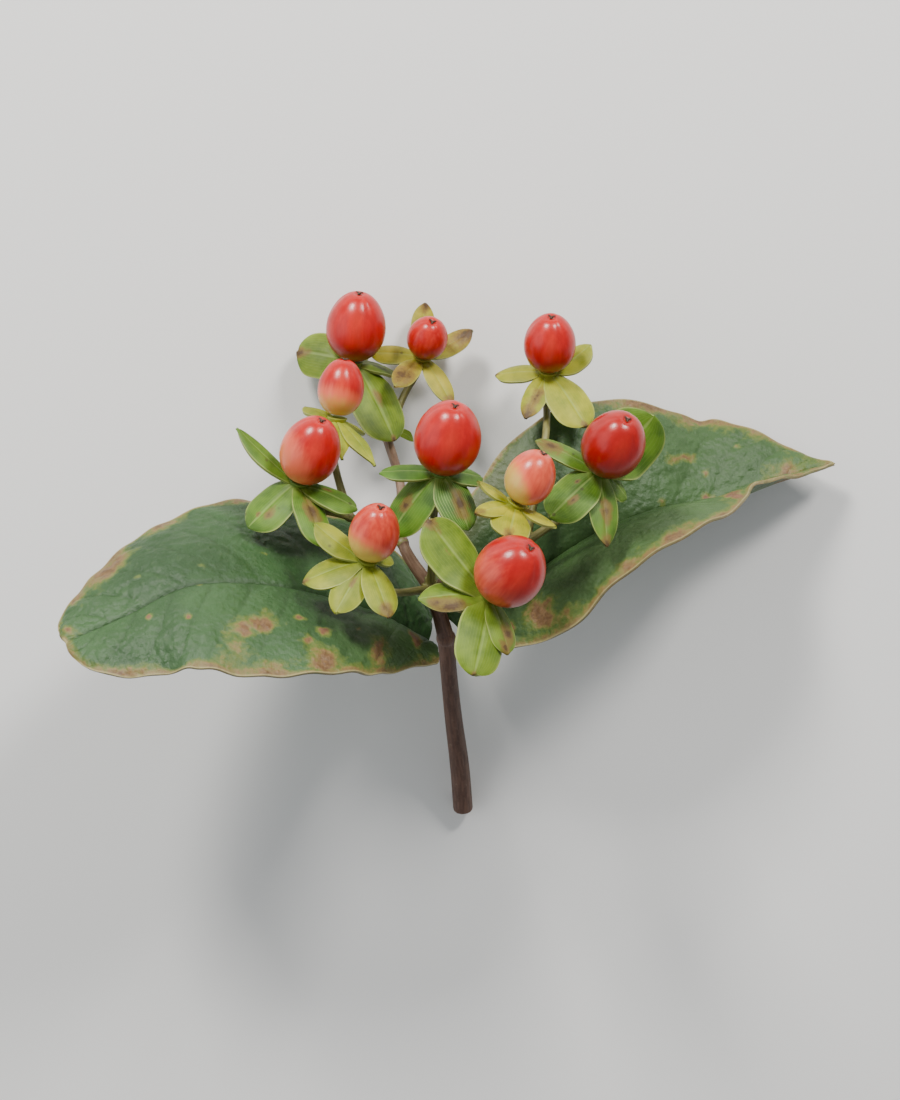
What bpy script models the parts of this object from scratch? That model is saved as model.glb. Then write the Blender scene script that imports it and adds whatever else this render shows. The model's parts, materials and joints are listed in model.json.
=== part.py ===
"""A cut hypericum stem: ten berries in a cyme over one pair of leaves.

The plant is drawn as it grew, in millimetres: x to the right, y to the back
and z up the stem, with the origin where the two leaves meet the stem.
An empty then lays the finished plant on its back, on three low points.
"""
import math

import bmesh
import bpy
import numpy as np
from mathutils import Matrix, Vector

MM = 0.001
GAP = 0.3            # between neighbours that touch on the real plant
BLADE = 0.6          # thickness of leaves and sepals

# Berries: base point, lean of the axis (dx, dy per unit of z), radius, length.
BERRIES = {
    1: ((-14.8, 27.7, 35.3), (0.10, 0.15), 4.75, 11.4),
    2: ((-3.7, 29.1, 35.5), (0.23, -0.24), 3.25, 7.3),
    3: ((16.2, 23.5, 36.1), (0.03, -0.04), 4.10, 9.8),
    4: ((-16.9, 13.1, 33.9), (0.15, 0.43), 3.60, 9.0),
    5: ((-22.5, 3.1, 28.7), (0.35, 0.03), 4.60, 11.2),
    6: ((-0.7, -2.3, 34.1), (0.18, -0.05), 5.05, 12.0),
    7: ((23.8, 3.1, 30.7), (0.35, -0.24), 4.80, 11.5),
    8: ((10.9, -6.5, 31.1), (0.50, 0.20), 3.75, 8.7),
    9: ((-11.7, -11.6, 24.3), (0.22, -0.03), 3.80, 9.6),
    10: ((6.8, -19.8, 23.6), (0.60, -0.21), 5.20, 11.4),
}

# Egg outline of a berry: height and radius as parts of its length and radius.
EGG = [(1.0, 0.0), (0.98, 0.24), (0.92, 0.50), (0.80, 0.75), (0.63, 0.94),
       (0.45, 1.0), (0.28, 0.94), (0.13, 0.74), (0.03, 0.46), (0.0, 0.24), (0.0, 0.0)]
BERRY_SIDES = 14

# Sepals of each calyx: compass angle round the berry's axis (0 is right, 90 is back),
# droop below the flat, length, width, and how far the tip curls down further.
SEPALS = {
    1: [(156, 0, 9.0, 6.5, 12), (245, 40, 8.0, 6.0, 15), (316, 42, 13.4, 7.4, 8), (30, 15, 7.0, 5.5, 15),
        (95, 10, 7.0, 5.5, 15)],
    2: [(92, -22, 8.5, 3.8, -12), (30, -20, 8.5, 3.8, -10), (305, 10, 8.8, 3.6, 12), (240, -2, 7.6, 3.6, 12),
        (178, 8, 7.4, 3.8, 10)],
    3: [(172, 8, 7.5, 4.4, 12), (245, 22, 8.3, 3.8, 12), (305, 22, 10.3, 6.6, 10), (30, -20, 7.4, 5.0, -8),
        (100, 5, 6.5, 4.5, 12)],
    4: [(140, -10, 6.0, 4.2, 12), (215, 62, 4.6, 3.0, 12), (284, 34, 7.8, 3.2, 10), (316, 28, 10.0, 4.2, 8),
        (50, 20, 6.0, 4.0, 12)],
    5: [(160, -18, 11.8, 4.6, -4), (225, 42, 9.6, 7.0, 10), (300, 18, 10.6, 5.6, 10), (350, 0, 9.0, 6.2, 10),
        (75, 0, 7.0, 5.0, 12)],
    6: [(180, 8, 8.2, 4.2, 10), (218, 52, 11.4, 7.2, 10), (308, 30, 8.9, 6.4, 10), (20, 10, 6.5, 5.0, 15),
        (95, 5, 7.0, 5.5, 12)],
    7: [(50, -26, 12.0, 9.0, -22), (162, -3, 9.8, 4.0, 8), (230, 22, 10.2, 6.6, 10), (284, 22, 11.2, 4.8, 8),
        (350, 30, 6.0, 4.5, 15)],
    8: [(170, -8, 5.8, 3.2, 8), (223, 12, 7.2, 3.4, 10), (268, 16, 7.2, 6.2, 10), (345, -4, 6.0, 3.2, 8),
        (75, 10, 4.5, 3.6, 10)],
    9: [(158, -16, 8.8, 4.6, -4), (195, 24, 9.3, 5.8, 10), (245, 28, 9.0, 5.0, 10), (295, 16, 9.3, 5.0, 10),
        (50, 15, 5.0, 4.0, 12)],
    10: [(148, -12, 13.5, 8.2, 0), (192, 20, 9.8, 5.2, 12), (268, 14, 12.6, 7.8, 10), (298, 8, 8.6, 4.8, 12),
         (45, 10, 6.0, 5.0, 15)],
}
RECEPTACLE_R = 1.7
SEPAL_CELLS = (5, 4)

# Leaves: midrib points from base to tip, then for the far and the near half the
# width, the lift above level and the forward sweep of the half at each point.
LEAVES = {
    "leaf_left": {
        "midrib": [(-2.6, -1.1, 0.8), (-11, -4.5, 9), (-20.5, -8.5, 15.5), (-29.5, -12, 19.8),
                   (-39, -15.5, 21.6), (-48, -19.5, 19), (-56.5, -23, 16.8)],
        "far": [(8, 22, -5), (18.5, 18, -4), (22.5, 5, 5), (19.5, 0, 15), (15.5, 0, 20), (12, 0, 20), (10, 0, 20)],
        "near": [(8, -5, 15), (15, -10, 10), (18.5, -12, 5), (18.5, -15, 10), (16.5, -15, 15), (13, -12, 15),
                 (11, -8, 15)],
        "wave": 0.7,
    },
    "leaf_right": {
        "midrib": [(2.6, 1.1, 0.8), (12, 4.8, 8), (22.2, 9, 13.5), (32.5, 13, 15.8),
                   (42.7, 17.2, 14.3), (53, 21.3, 16), (63, 25.5, 16.8)],
        "far": [(8, 50, -5), (15, 48, -4), (20, 44, 2), (18.5, 38, 12), (16.5, 28, 20), (9, 20, 25), (1.5, 10, 30)],
        "near": [(7, -5, -8), (12.5, 0, -4), (17, 12, 5), (15.5, 25, 15), (9.5, 40, 20), (5, 40, 25), (1.5, 20, 30)],
        "wave": 0.8,
    },
}
LEAF_CELLS = (24, 12)
LEAF_SHEATH = 1.2    # how far each half of a blade bulges above the sunken midrib

# Stem pieces: points with the radius at each.
STEMS = {
    "main": [((2.8, 0.6, -35.2), 1.65), ((2.2, 0.5, -26), 1.6), ((1.2, 0.3, -16), 1.45), ((0.4, 0.0, -6), 1.35),
             ((0.0, 0.0, 0.0), 1.4), ((-1.0, 0.0, 5.0), 1.2), ((-2.4, 0.0, 10.0), 1.25)],
    "back_left": [((-2.4, 0.0, 10.0), 1.1), ((-6.8, 4.0, 16), 0.9), ((-7.2, 13.5, 20.3), 0.75), ((-9.5, 23.0, 23.4), 0.8)],
    "right": [((-2.4, 0.0, 10.0), 1.1), ((4.0, 0.3, 13.0), 0.85), ((12.5, 2.0, 17.5), 0.85)],
}
# Pedicels: where each leaves its branch, with one point to bend through.
PEDICELS = {
    1: ((-9.5, 23.0, 23.4), (-13.2, 27.0, 27.5)),
    2: ((-9.5, 23.0, 23.4), (-6.8, 28.2, 28.0)),
    3: ((12.5, 2.0, 17.5), (15.6, 14.5, 28.5)),
    4: ((-15.0, 4.6, 20.5), (-17.2, 9.0, 26.5)),
    5: ((-6.8, 4.0, 16), (-15.0, 4.6, 20.5)),
    6: ((-2.4, 0.0, 10.0), (-2.0, -1.4, 21)),
    7: ((12.5, 2.0, 17.5), (20.5, 3.5, 23.5)),
    8: ((12.5, 2.0, 17.5), (10.8, -4.0, 24)),
    9: ((-2.4, 0.0, 10.0), (-8.0, -6.5, 14.0)),
    10: ((-2.4, 0.0, 10.0), (0.5, -9.0, 13.5)),
}
PEDICEL_R = 0.62


# Geometry

def spline(rows, s):
    """A smooth curve through evenly spaced rows of numbers, at s from 0 to 1."""
    rows = np.asarray(rows, float)
    last = len(rows) - 1
    x = min(max(s, 0.0), 1.0) * last
    i = min(int(x), last - 1)
    f = x - i
    p1, p2 = rows[i], rows[i + 1]
    p0 = rows[i - 1] if i > 0 else 2 * p1 - p2
    p3 = rows[i + 2] if i < last - 1 else 2 * p2 - p1
    return 0.5 * (2 * p1 + (p2 - p0) * f + (2 * p0 - 5 * p1 + 4 * p2 - p3) * f ** 2
                  + (3 * p1 - p0 - 3 * p2 + p3) * f ** 3)


def path_point(points, distance):
    """A point of the smooth curve through unevenly spaced points, at a distance along it."""
    points = np.asarray(points, float)
    steps = np.linalg.norm(np.diff(points[:, :3], axis=0), axis=1)
    at = np.concatenate(([0.0], np.cumsum(steps)))
    i = min(max(int(np.searchsorted(at, distance, side="right")) - 1, 0), len(points) - 2)
    slopes = []
    for k in (i, i + 1):
        a, b = max(k - 1, 0), min(k + 1, len(points) - 1)
        slopes.append((points[b] - points[a]) / (at[b] - at[a]))
    h = at[i + 1] - at[i]
    f = min(max((distance - at[i]) / h, 0.0), 1.0)
    return (points[i] * (1 - 3 * f ** 2 + 2 * f ** 3) + points[i + 1] * (3 * f ** 2 - 2 * f ** 3)
            + slopes[0] * h * (f - 2 * f ** 2 + f ** 3) + slopes[1] * h * (f ** 3 - f ** 2))


def unit(v):
    v = np.asarray(v, float)
    return v / np.linalg.norm(v)


def turned(a, b, degrees):
    """The direction that starts at a and is turned toward b."""
    r = math.radians(degrees)
    return a * math.cos(r) + b * math.sin(r)


def leaf_point(leaf, s, t):
    """A point of the blade: s runs from base to tip, t from far (-1) to near edge (1)."""
    centre = spline(leaf["midrib"], s)
    along = unit(spline(leaf["midrib"], s + 0.01) - spline(leaf["midrib"], s - 0.01))
    back = unit((-along[1], along[0], 0))
    back = back if back[1] > 0 else -back
    up = np.cross(along, back)
    up = up if up[2] > 0 else -up
    width, lift, sweep = spline(leaf["far" if t < 0 else "near"], s)
    out = turned(back if t < 0 else -back, up, lift)
    out = turned(out, along, sweep)
    u = abs(t)
    width = max(width, 0) * math.sqrt(max(1 - s ** 8, 0))
    point = centre + out * width * u
    bulge = LEAF_SHEATH * math.sin(math.pi * u) * min(1, width / 15)
    ripple = leaf["wave"] * u ** 2 * math.sin(17 * s + (0.6 if t < 0 else 2.4)) * min(1, 4 * (1 - s))
    return point + up * (bulge + ripple)


def berry_frame(number):
    """The base point and the right, back and axis directions of a berry."""
    base, lean, radius, length = BERRIES[number]
    axis = unit((*lean, 1))
    back = unit(np.cross(axis, (1, 0, 0)))
    right = np.cross(back, axis)
    return np.array(base, float), right, back, axis


def sepal_width(s):
    """Half width of a sepal as a part of its widest, at s from base to tip."""
    if s < 0.45:
        return 0.42 + 0.58 * math.sin(math.pi / 2 * s / 0.45)
    return math.cos(math.pi / 2 * ((s - 0.45) / 0.55) ** 1.25) ** 0.9 if s < 1 else 0.0


def sepal_point(number, sepal, s, t):
    """A point of a sepal: s runs from its root to its tip, t across it from -1 to 1."""
    compass, droop, length, width, curl = sepal
    base, right, back, axis = berry_frame(number)
    out = turned(right, back, compass)
    side = np.cross(axis, out)
    steps = 8
    point = base - axis * 0.95 + out * 0.9
    for i in range(steps):
        angle = droop + curl * ((i + 0.5) / steps * s * 2 - 0.7)
        point = point + turned(out, -axis, angle) * length * s / steps
    angle = droop + curl * (2 * s - 0.7)
    normal = turned(axis, out, angle)
    half = width / 2 * sepal_width(s)
    return point + side * half * t - normal * half * 0.22 * t ** 2


# Building

for old in list(bpy.data.objects):
    bpy.data.objects.remove(old, do_unlink=True)

plant_collection = bpy.data.collections.new("hypericum_berry_stem")
bpy.context.scene.collection.children.link(plant_collection)
plant = bpy.data.objects.new("plant", None)
plant_collection.objects.link(plant)


def material(name, colour, roughness):
    mat = bpy.data.materials.new(name)
    mat.use_nodes = True
    shader = mat.node_tree.nodes["Principled BSDF"]
    shader.inputs["Base Color"].default_value = (*colour, 1)
    shader.inputs["Roughness"].default_value = roughness
    shader.inputs["Metallic"].default_value = 0.0
    return mat


RED = material("berry_red", (0.55, 0.02, 0.015), 0.2)
GREEN = material("sepal_green", (0.16, 0.30, 0.05), 0.5)
YELLOW = material("sepal_yellow", (0.38, 0.36, 0.05), 0.5)
LEAF = material("leaf_green", (0.03, 0.10, 0.03), 0.45)
BARK = material("stem_brown", (0.16, 0.07, 0.04), 0.6)
DARK = material("style_brown", (0.03, 0.015, 0.01), 0.7)
YELLOW_CALYCES = (2, 3, 4, 8, 9)


def add_object(name, mesh, mat=None, parent=plant):
    obj = bpy.data.objects.new(name, mesh)
    plant_collection.objects.link(obj)
    obj.parent = parent
    if mat:
        mesh.materials.append(mat)
    return obj


def blade(name, cells, point, mat=None):
    """A thin blade: a grid of the given cells whose vertices are placed by a formula."""
    across, along = cells[1], cells[0]
    bm = bmesh.new()
    bmesh.ops.create_grid(bm, x_segments=across, y_segments=along, size=1)
    for vert in bm.verts:
        s = (1 - math.cos(math.pi * (vert.co.y + 1) / 2)) / 2
        vert.co = Vector(point(s, vert.co.x)) * MM
    bmesh.ops.remove_doubles(bm, verts=bm.verts, dist=0.00002)
    bmesh.ops.triangulate(bm, faces=bm.faces, quad_method="FIXED")
    mesh = bpy.data.meshes.new(name)
    bm.to_mesh(mesh)
    bm.free()
    obj = add_object(name, mesh, mat)
    solid = obj.modifiers.new("thickness", "SOLIDIFY")
    solid.thickness = BLADE * MM
    solid.offset = 0
    mesh.shade_smooth()
    return obj


def made_mesh(obj):
    """Replace an object by a plain mesh of what its modifiers or its curve give."""
    bpy.context.view_layer.update()
    shape = obj.evaluated_get(bpy.context.evaluated_depsgraph_get())
    mesh = bpy.data.meshes.new_from_object(shape)
    bm = bmesh.new()
    bm.from_mesh(mesh)
    bmesh.ops.remove_doubles(bm, verts=bm.verts, dist=0.000001)
    bmesh.ops.delete(bm, geom=[v for v in bm.verts if not v.link_faces], context="VERTS")
    bm.to_mesh(mesh)
    bm.free()
    new = bpy.data.objects.new(obj.name + "_solid", mesh)
    plant_collection.objects.link(new)
    new.matrix_world = obj.matrix_world
    bpy.data.objects.remove(obj, do_unlink=True)
    return new


def join_solids(name, first, others, mat, solver="EXACT"):
    """Union the others into the first, which keeps the given name."""
    group = bpy.data.collections.new(name + "_pieces")
    bpy.context.scene.collection.children.link(group)
    for piece in others:
        plant_collection.objects.unlink(piece)
        group.objects.link(piece)
    union = first.modifiers.new("union", "BOOLEAN")
    union.operation = "UNION"
    union.operand_type = "COLLECTION"
    union.collection = group
    union.solver = solver
    joined = made_mesh(first)
    for piece in list(group.objects):
        bpy.data.objects.remove(piece, do_unlink=True)
    bpy.data.collections.remove(group)
    joined.name = name
    joined.data.name = name
    joined.data.materials.clear()
    joined.data.materials.append(mat)
    joined.parent = plant
    joined.data.shade_smooth()
    joined.data.set_sharp_from_angle(angle=math.radians(50))
    return joined


def tube(name, points, radii, step=3.2):
    """A round stem through the points, as a plain mesh."""
    rows = [(*p, r) for p, r in zip(points, radii)]
    length = sum(np.linalg.norm(np.subtract(b, a)) for a, b in zip(points, points[1:]))
    count = max(3, round(length / step))
    curve = bpy.data.curves.new(name, "CURVE")
    curve.dimensions = "3D"
    curve.bevel_depth = MM
    curve.bevel_resolution = 2
    curve.use_fill_caps = True
    line = curve.splines.new("POLY")
    line.points.add(count)
    for i in range(count + 1):
        x, y, z, r = path_point(rows, length * i / count)
        line.points[i].co = (x * MM, y * MM, z * MM, 1)
        line.points[i].radius = r
    obj = bpy.data.objects.new(name, curve)
    plant_collection.objects.link(obj)
    return made_mesh(obj)


def stand(obj, number, height, spread=Matrix()):
    """Put an object drawn along +Z on a berry's axis, at a height over its base."""
    base, right, back, axis = berry_frame(number)
    turn = Matrix((right, back, axis)).transposed().to_4x4()
    obj.matrix_local = Matrix.Translation(Vector(base + axis * height) * MM) @ turn @ spread


def berry(number):
    """A turned egg."""
    base, lean, radius, length = BERRIES[number]
    mesh = bpy.data.meshes.new("berry_%d" % number)
    points = [(radius * r * MM, 0, length * z * MM) for z, r in EGG]
    mesh.from_pydata(points, [(i, i + 1) for i in range(len(points) - 1)], [])
    obj = add_object("berry_%d" % number, mesh, RED)
    screw = obj.modifiers.new("turned", "SCREW")
    screw.steps = BERRY_SIDES
    screw.render_steps = BERRY_SIDES
    screw.use_merge_vertices = True
    screw.merge_threshold = 0.00005
    screw.use_smooth_shade = True
    stand(obj, number, 0)


def calyx(number):
    """A receptacle with five sepals."""
    mat = YELLOW if number in YELLOW_CALYCES else GREEN
    bm = bmesh.new()
    bmesh.ops.create_cone(bm, cap_ends=True, segments=12, radius1=0.9 * MM, radius2=RECEPTACLE_R * MM, depth=1.6 * MM)
    mesh = bpy.data.meshes.new("receptacle")
    bm.to_mesh(mesh)
    bm.free()
    cup = add_object("receptacle_%d" % number, mesh)
    stand(cup, number, -GAP - 0.8)
    sepals = []
    for i, sepal in enumerate(SEPALS[number]):
        flat = blade("sepal_%d_%d" % (number, i), SEPAL_CELLS, lambda s, t: sepal_point(number, sepal, s, t))
        sepals.append(made_mesh(flat))
    join_solids("calyx_%d" % number, cup, sepals, mat)


def style(number):
    """A small knob with three short arms that spread from the tip of the berry."""
    base, lean, radius, length = BERRIES[number]
    height = length + GAP + 0.45
    bm = bmesh.new()
    bmesh.ops.create_uvsphere(bm, u_segments=7, v_segments=5, radius=0.45 * MM)
    mesh = bpy.data.meshes.new("knob")
    bm.to_mesh(mesh)
    bm.free()
    knob = add_object("knob_%d" % number, mesh)
    stand(knob, number, height)
    arms = []
    for i in range(3):
        bm = bmesh.new()
        bmesh.ops.create_cone(bm, cap_ends=True, segments=5, radius1=0.28 * MM, radius2=0.18 * MM, depth=1.1 * MM)
        bmesh.ops.translate(bm, verts=bm.verts, vec=(0, 0, 0.7 * MM))
        mesh = bpy.data.meshes.new("arm")
        bm.to_mesh(mesh)
        bm.free()
        arm = add_object("arm_%d_%d" % (number, i), mesh)
        spread = Matrix.Rotation(math.radians(120 * i + 20), 4, "Z") @ Matrix.Rotation(math.radians(72), 4, "Y")
        stand(arm, number, height, spread)
        arms.append(arm)
    join_solids("style_%d" % number, knob, arms, DARK)


for number in BERRIES:
    berry(number)
    calyx(number)
    style(number)

for name, leaf in LEAVES.items():
    blade(name, LEAF_CELLS, lambda s, t: leaf_point(leaf, s, t), LEAF)

branches = []
for name, rows in STEMS.items():
    branches.append(tube(name, [p for p, r in rows], [r for p, r in rows]))
for number, (start, bend) in PEDICELS.items():
    base, right, back, axis = berry_frame(number)
    end = base - axis * (GAP + 1.6 + GAP + 0.05)
    points = [start, bend, tuple(end - axis * 2.5), tuple(end)]
    branches.append(tube("pedicel_%d" % number, points, [0.7, PEDICEL_R, PEDICEL_R, 0.75]))
join_solids("stem", branches[0], branches[1:], BARK)

BRACT = ((-8.0, 23.0, 24.4), (-5.4, 24.0, 22.0), 1.5)


def bract_point(s, t):
    """A point of the small scale leaf at the back left fork."""
    start, end, width = BRACT
    start, end = np.array(start), np.array(end)
    side = unit(np.cross(end - start, (0, -0.8, 0.6)))
    arch = np.array((0.5, 0, 0.9)) * math.sin(math.pi * s) * 0.5
    return start + (end - start) * s + arch + side * width / 2 * sepal_width(s) * t


blade("bract", (5, 2), bract_point, GREEN)


# Laying down: the plant turns until the lowest vertices of three nodes share a level.
RESTS_ON = ("stem", "leaf_right", "calyx_1")


def corners(names=None):
    """World positions of the finished nodes' vertices, in metres."""
    graph = bpy.context.evaluated_depsgraph_get()
    found = {}
    for obj in plant_collection.objects:
        if obj.type == "MESH" and (names is None or obj.name in names):
            shape = obj.evaluated_get(graph)
            found[obj.name] = [obj.matrix_world @ v.co for v in shape.to_mesh().vertices]
            shape.to_mesh_clear()
    return found


plant.rotation_euler = (math.radians(-60), 0, 0)
for turn in range(8):
    bpy.context.view_layer.update()
    lows = [min(points, key=lambda p: p.z) for points in corners(RESTS_ON).values()]
    normal = (lows[1] - lows[0]).cross(lows[2] - lows[0]).normalized()
    normal = normal if normal.z > 0 else -normal
    level = normal.rotation_difference(Vector((0, 0, 1))).to_matrix().to_4x4()
    plant.matrix_world = level @ plant.matrix_world

bpy.context.view_layer.update()
every = [p for points in corners().values() for p in points]
low = Vector([min(p[i] for p in every) for i in range(3)])
high = Vector([max(p[i] for p in every) for i in range(3)])
plant.matrix_world = Matrix.Translation((-(low.x + high.x) / 2, -(low.y + high.y) / 2, -low.z)) @ plant.matrix_world
bpy.context.view_layer.update()
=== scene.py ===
# %% [markdown]
# # A hypericum stem, dressed for its picture
#
# The plant is a cut stem of hypericum: ten berries, each over a star of five sepals, above one
# pair of broad old leaves. The solids are already built and packed. Here each of them gets its
# real skin: a glossy fruit, a veined sepal, a leaf that has begun to scorch at its edges.

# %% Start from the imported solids
import json
import math

import bpy
import numpy as np
from mathutils import Matrix, Vector, noise

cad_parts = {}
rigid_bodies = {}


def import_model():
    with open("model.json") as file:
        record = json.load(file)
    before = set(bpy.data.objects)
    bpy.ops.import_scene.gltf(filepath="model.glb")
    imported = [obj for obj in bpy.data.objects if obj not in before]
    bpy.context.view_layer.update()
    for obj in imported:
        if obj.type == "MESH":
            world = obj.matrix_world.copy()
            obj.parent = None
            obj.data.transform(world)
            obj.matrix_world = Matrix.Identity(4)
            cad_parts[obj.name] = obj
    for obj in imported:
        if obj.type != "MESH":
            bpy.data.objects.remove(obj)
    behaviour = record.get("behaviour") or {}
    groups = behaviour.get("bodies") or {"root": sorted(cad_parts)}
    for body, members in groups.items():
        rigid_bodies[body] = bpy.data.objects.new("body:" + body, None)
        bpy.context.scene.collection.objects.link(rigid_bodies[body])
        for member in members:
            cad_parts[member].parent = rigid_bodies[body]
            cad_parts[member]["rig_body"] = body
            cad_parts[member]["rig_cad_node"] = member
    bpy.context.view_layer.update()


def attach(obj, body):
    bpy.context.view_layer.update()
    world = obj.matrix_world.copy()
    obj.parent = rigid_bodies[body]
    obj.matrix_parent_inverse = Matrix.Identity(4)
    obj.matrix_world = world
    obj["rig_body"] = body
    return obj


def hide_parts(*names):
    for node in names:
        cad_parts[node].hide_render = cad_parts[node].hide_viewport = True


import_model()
bpy.ops.object.select_all(action="DESELECT")

# %% [markdown]
# ## Two frames
#
# A plant is easiest to describe as it grew: x to the right, y to the back and z up the stem, in
# millimetres, from the point where the two leaves meet the stem. The cut stem then lies on its
# back on the table, so every point takes one turn and one step from the growing frame to the
# table's. Both are named here once.

# %% The turn that lays the plant down
MM = 0.001
LAY_TURN = (math.radians(-63.442), math.radians(-2.081), math.radians(0.063))
LAY_STEP = (-2.191, -12.159, 17.628)
LAY = Matrix.Translation(Vector(LAY_STEP) * MM) @ Matrix.Rotation(LAY_TURN[2], 4, "Z") \
    @ Matrix.Rotation(LAY_TURN[1], 4, "Y") @ Matrix.Rotation(LAY_TURN[0], 4, "X")
LAY_ROWS = np.array([list(row) for row in LAY])


def laid(points):
    """Growing-frame points in millimetres to table-frame points in metres."""
    points = np.asarray(points, float)
    return points * MM @ LAY_ROWS[:3, :3].T + LAY_ROWS[:3, 3]


# %% [markdown]
# ## The camera
#
# The photograph looks down on the open side of the cluster, 35 degrees above the leaves' level
# as the plant grew. With the stem lying on its back, that is a view from almost overhead. The
# lens is long, so the berries at the back are hardly smaller than those in front.

# %% Camera
VIEW_RISE = math.radians(35)
CAMERA_AWAY = 476.0          # mm from the leaf node's depth, along the line of sight
CAMERA_AIM = (0.635, 14.28)  # mm right and up, as the picture shows it
HALF_HEIGHT = 550 / 3000     # half the picture's height over its distance

to_camera = np.array((0, -math.cos(VIEW_RISE), math.sin(VIEW_RISE)))
picture_up = np.array((0, math.sin(VIEW_RISE), math.cos(VIEW_RISE)))
camera_data = bpy.data.cameras.new("camera")
camera = bpy.data.objects.new("camera", camera_data)
bpy.context.scene.collection.objects.link(camera)
camera_data.sensor_fit = "VERTICAL"
camera_data.angle = 2 * math.atan(HALF_HEIGHT)
camera_data.clip_start = 0.01
place = to_camera * CAMERA_AWAY + picture_up * CAMERA_AIM[1] + np.array((CAMERA_AIM[0], 0, 0))
axes = Matrix(((1, 0, 0), tuple(picture_up), tuple(to_camera))).transposed().to_4x4()
camera.matrix_world = LAY @ Matrix.Translation(Vector(place) * MM) @ axes
bpy.context.scene.camera = camera
print("camera at", [round(v, 3) for v in camera.matrix_world.translation])

# %% [markdown]
# ## Floor and light
#
# A plain pale floor and two soft lamps on the far side of the plant, which give every berry its
# pair of soft highlights just beside the tip. A large dim one, far to the left, fills the rest.

# %% Floor and lamps
bpy.ops.mesh.primitive_plane_add(size=6, location=(0, 0, 0))
floor = bpy.context.object
floor.name = "floor"
floor_mat = bpy.data.materials.new("pale_floor")
floor_mat.use_nodes = True
floor_shader = floor_mat.node_tree.nodes["Principled BSDF"]
floor_shader.inputs["Base Color"].default_value = (0.80, 0.79, 0.77, 1)
floor_shader.inputs["Roughness"].default_value = 0.8
floor.data.materials.append(floor_mat)

world = bpy.data.worlds.new("studio")
bpy.context.scene.world = world
world.use_nodes = True
world.node_tree.nodes["Background"].inputs["Color"].default_value = (0.9, 0.95, 1.0, 1)
world.node_tree.nodes["Background"].inputs["Strength"].default_value = 0.40

# Lamps: place, size and power, in metres and watts, and colour.
LAMPS = {
    "lamp_left": ((-0.23, 0.48, 0.36), 0.13, 4.6, (1.0, 0.98, 0.94)),
    "lamp_right": ((0.26, 0.45, 0.36), 0.13, 3.4, (1.0, 0.98, 0.95)),
    "lamp_fill": ((-0.85, 0.05, 0.50), 0.90, 3.4, (0.98, 0.99, 1.0)),
}
LAMPS_AIM = Vector((0, 0.01, 0.03))
for name, (spot, size, power, colour) in LAMPS.items():
    lamp_data = bpy.data.lights.new(name, "AREA")
    lamp_data.shape = "SQUARE"
    lamp_data.size = size
    lamp_data.energy = power
    lamp_data.color = colour
    lamp = bpy.data.objects.new(name, lamp_data)
    bpy.context.scene.collection.objects.link(lamp)
    lamp.location = spot
    lamp.rotation_euler = (LAMPS_AIM - Vector(spot)).to_track_quat("-Z", "Y").to_euler()
print("lamps:", ", ".join(LAMPS))

# %% [markdown]
# ## The plan of the plant
#
# Everything hangs on a few tables: where each berry sits and how it leans, how each sepal points
# round it, and how the leaves and stems run. The solids were drawn from the same numbers. All
# are in millimetres and degrees, in the growing frame.

# %% Berries, sepals, leaves and stems
# Berries: base point, lean of the axis (dx, dy per unit of z), radius, length.
BERRIES = {
    1: ((-14.8, 27.7, 35.3), (0.10, 0.15), 4.75, 11.4),
    2: ((-3.7, 29.1, 35.5), (0.23, -0.24), 3.25, 7.3),
    3: ((16.2, 23.5, 36.1), (0.03, -0.04), 4.10, 9.8),
    4: ((-16.9, 13.1, 33.9), (0.15, 0.43), 3.60, 9.0),
    5: ((-22.5, 3.1, 28.7), (0.35, 0.03), 4.60, 11.2),
    6: ((-0.7, -2.3, 34.1), (0.18, -0.05), 5.05, 12.0),
    7: ((23.8, 3.1, 30.7), (0.35, -0.24), 4.80, 11.5),
    8: ((10.9, -6.5, 31.1), (0.50, 0.20), 3.75, 8.7),
    9: ((-11.7, -11.6, 24.3), (0.22, -0.03), 3.80, 9.6),
    10: ((6.8, -19.8, 23.6), (0.60, -0.21), 5.20, 11.4),
}
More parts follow.
